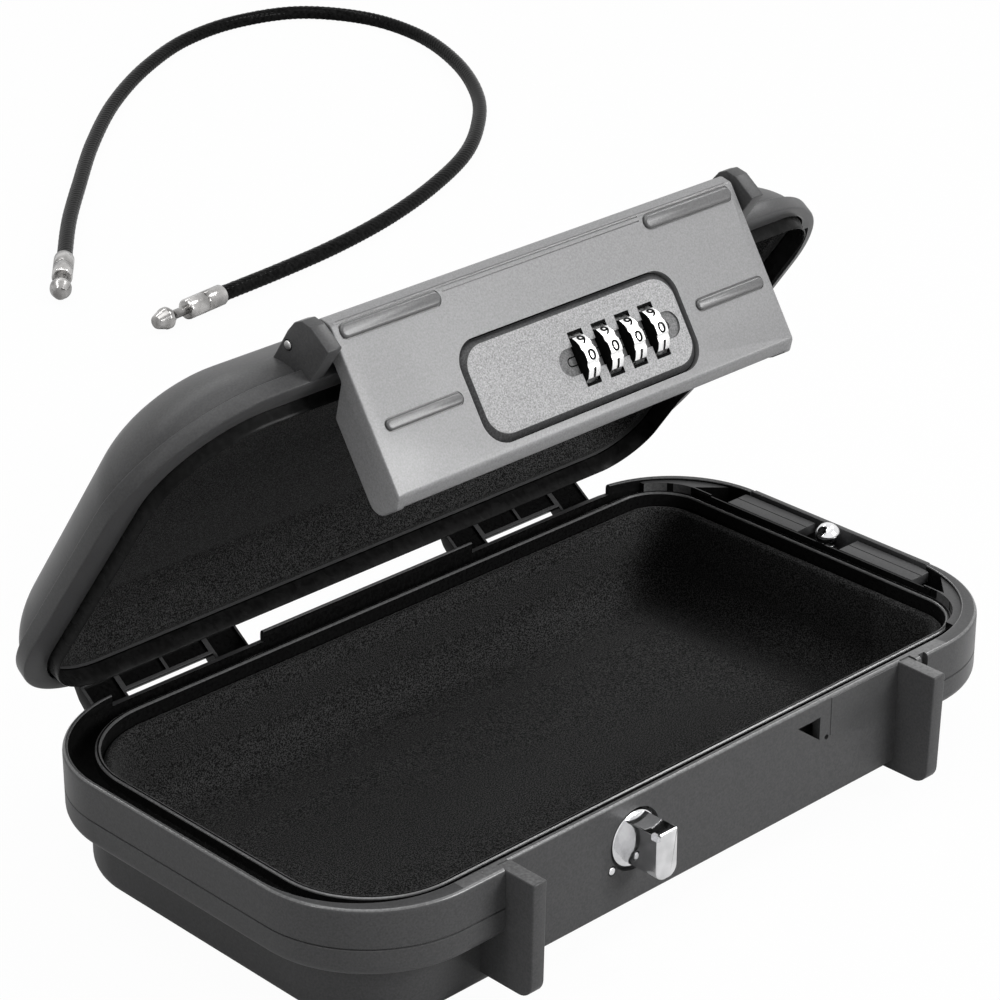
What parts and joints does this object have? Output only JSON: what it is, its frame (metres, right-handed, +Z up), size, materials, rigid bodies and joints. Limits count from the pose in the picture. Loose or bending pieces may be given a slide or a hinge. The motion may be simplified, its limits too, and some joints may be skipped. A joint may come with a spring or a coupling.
{
  "type": "portable car safe",
  "caption": "Portable car safe: a foam-lined moulded box with a hinged domed lid, a fold-down combination latch cover and a loose security cable.",
  "frame": {"origin": "middle of the base's flat underside", "axes": "+X along the length towards the cable end, +Y towards the rear hinges, +Z up"},
  "size_m": [0.5466, 0.6512, 0.1604],
  "materials": {
    "shell": "satin moulded plastic with a fine grain",
    "inner_plastic": "satin moulded plastic",
    "cover": "satin plastic with a fine metallic fleck",
    "lock_face": "spark-eroded texture",
    "foam": "soft foam with a knitted face",
    "seal": "smooth rubber",
    "chrome": "bright plated",
    "steel": "bright drawn",
    "cable_coat": "smooth vinyl over twisted steel rope"
  },
  "bodies": {
    "base": {"base_shell": "shell", "base_liner": "foam", "end_cap": "shell", "release_spring": "steel", "catch_post": "chrome", "catch_washer": "steel", "catch_nut": "steel", "catch_key": "steel", "hinge_pin_left": "steel", "hinge_pin_right": "steel", "cable": "cable_coat", "cable_ferrule_a": "chrome", "cable_ferrule_b": "chrome", "cable_head_a": "chrome", "cable_head_b": "chrome"},
    "lid": {"lid_shell": "shell", "lid_gasket": "seal", "lid_liner": "foam"},
    "cover_pin": {"cover_pin": "steel"},
    "latch_cover": {"latch_cover": "cover", "lock_panel": "lock_face", "lock_housing": "inner_plastic", "housing_screw_1": "steel", "housing_screw_2": "steel", "housing_screw_3": "steel", "housing_screw_4": "steel", "dial_axle": "steel", "detent_spring": "steel", "latch_spring": "steel"},
    "dial_1": {"dial_1": "chrome", "dial_sleeve_1": "steel"},
    "dial_2": {"dial_2": "chrome", "dial_sleeve_2": "steel"},
    "dial_3": {"dial_3": "chrome", "dial_sleeve_3": "steel"},
    "dial_4": {"dial_4": "chrome", "dial_sleeve_4": "steel"},
    "latch_bolt": {"latch_bolt": "steel"},
    "release_pin": {"release_pin": "chrome"},
    "lock_plate_rear": {"lock_plate_rear": "inner_plastic"},
    "lock_plate_front": {"lock_plate_front": "inner_plastic"}
  },
  "joints": [
    {"name": "lid_hinge", "type": "hinge", "parent": "base", "child": "lid", "pos_m": [0, 0.07065, 0.02903], "axis": [-1, 0, 0], "range_deg": [-54.15, 12]},
    {"name": "cover_fold", "type": "hinge", "parent": "lid", "child": "cover_pin", "pos_m": [0, 0.0077, 0.15269], "axis": [1, 0, 0], "range_deg": [-31.9, 7.11]},
    {"name": "cover_hinge", "type": "hinge", "parent": "cover_pin", "child": "latch_cover", "pos_m": [0, 0.0077, 0.15269], "axis": [-1, 0, 0], "range_deg": [-10, 85]},
    {"name": "dial_1_turn", "type": "hinge", "parent": "latch_cover", "child": "dial_1", "pos_m": [0.0002, -0.01267, 0.1317], "axis": [1, 0, 0], "continuous": true},
    {"name": "dial_2_turn", "type": "hinge", "parent": "latch_cover", "child": "dial_2", "pos_m": [0.0086, -0.01267, 0.1317], "axis": [1, 0, 0], "continuous": true},
    {"name": "dial_3_turn", "type": "hinge", "parent": "latch_cover", "child": "dial_3", "pos_m": [0.017, -0.01267, 0.1317], "axis": [1, 0, 0], "continuous": true},
    {"name": "dial_4_turn", "type": "hinge", "parent": "latch_cover", "child": "dial_4", "pos_m": [0.0254, -0.01267, 0.1317], "axis": [1, 0, 0], "continuous": true},
    {"name": "bolt_slide", "type": "slide", "parent": "latch_cover", "child": "latch_bolt", "axis": [1, 0, 0], "range_m": [-0.0036, 0]},
    {"name": "release_press", "type": "slide", "parent": "base", "child": "release_pin", "axis": [0, 0, 1], "range_m": [-0.0018, 0], "stiffness_N_per_m": 300, "springref_m": 0.003, "deforming": ["release_spring"]},
    {"name": "plate_rear_slide", "type": "slide", "parent": "base", "child": "lock_plate_rear", "axis": [0, 1, 0], "range_m": [0, 0.003]},
    {"name": "plate_front_slide", "type": "slide", "parent": "base", "child": "lock_plate_front", "axis": [0, -1, 0], "range_m": [0, 0.003]}
  ],
  "couplings": [
    {"joint": "cover_fold", "follows": "lid_hinge", "ratio": 0.58818},
    {"joint": "plate_rear_slide", "follows": "release_press", "ratio": -1.6},
    {"joint": "plate_front_slide", "follows": "release_press", "ratio": -1.6}
  ]
}
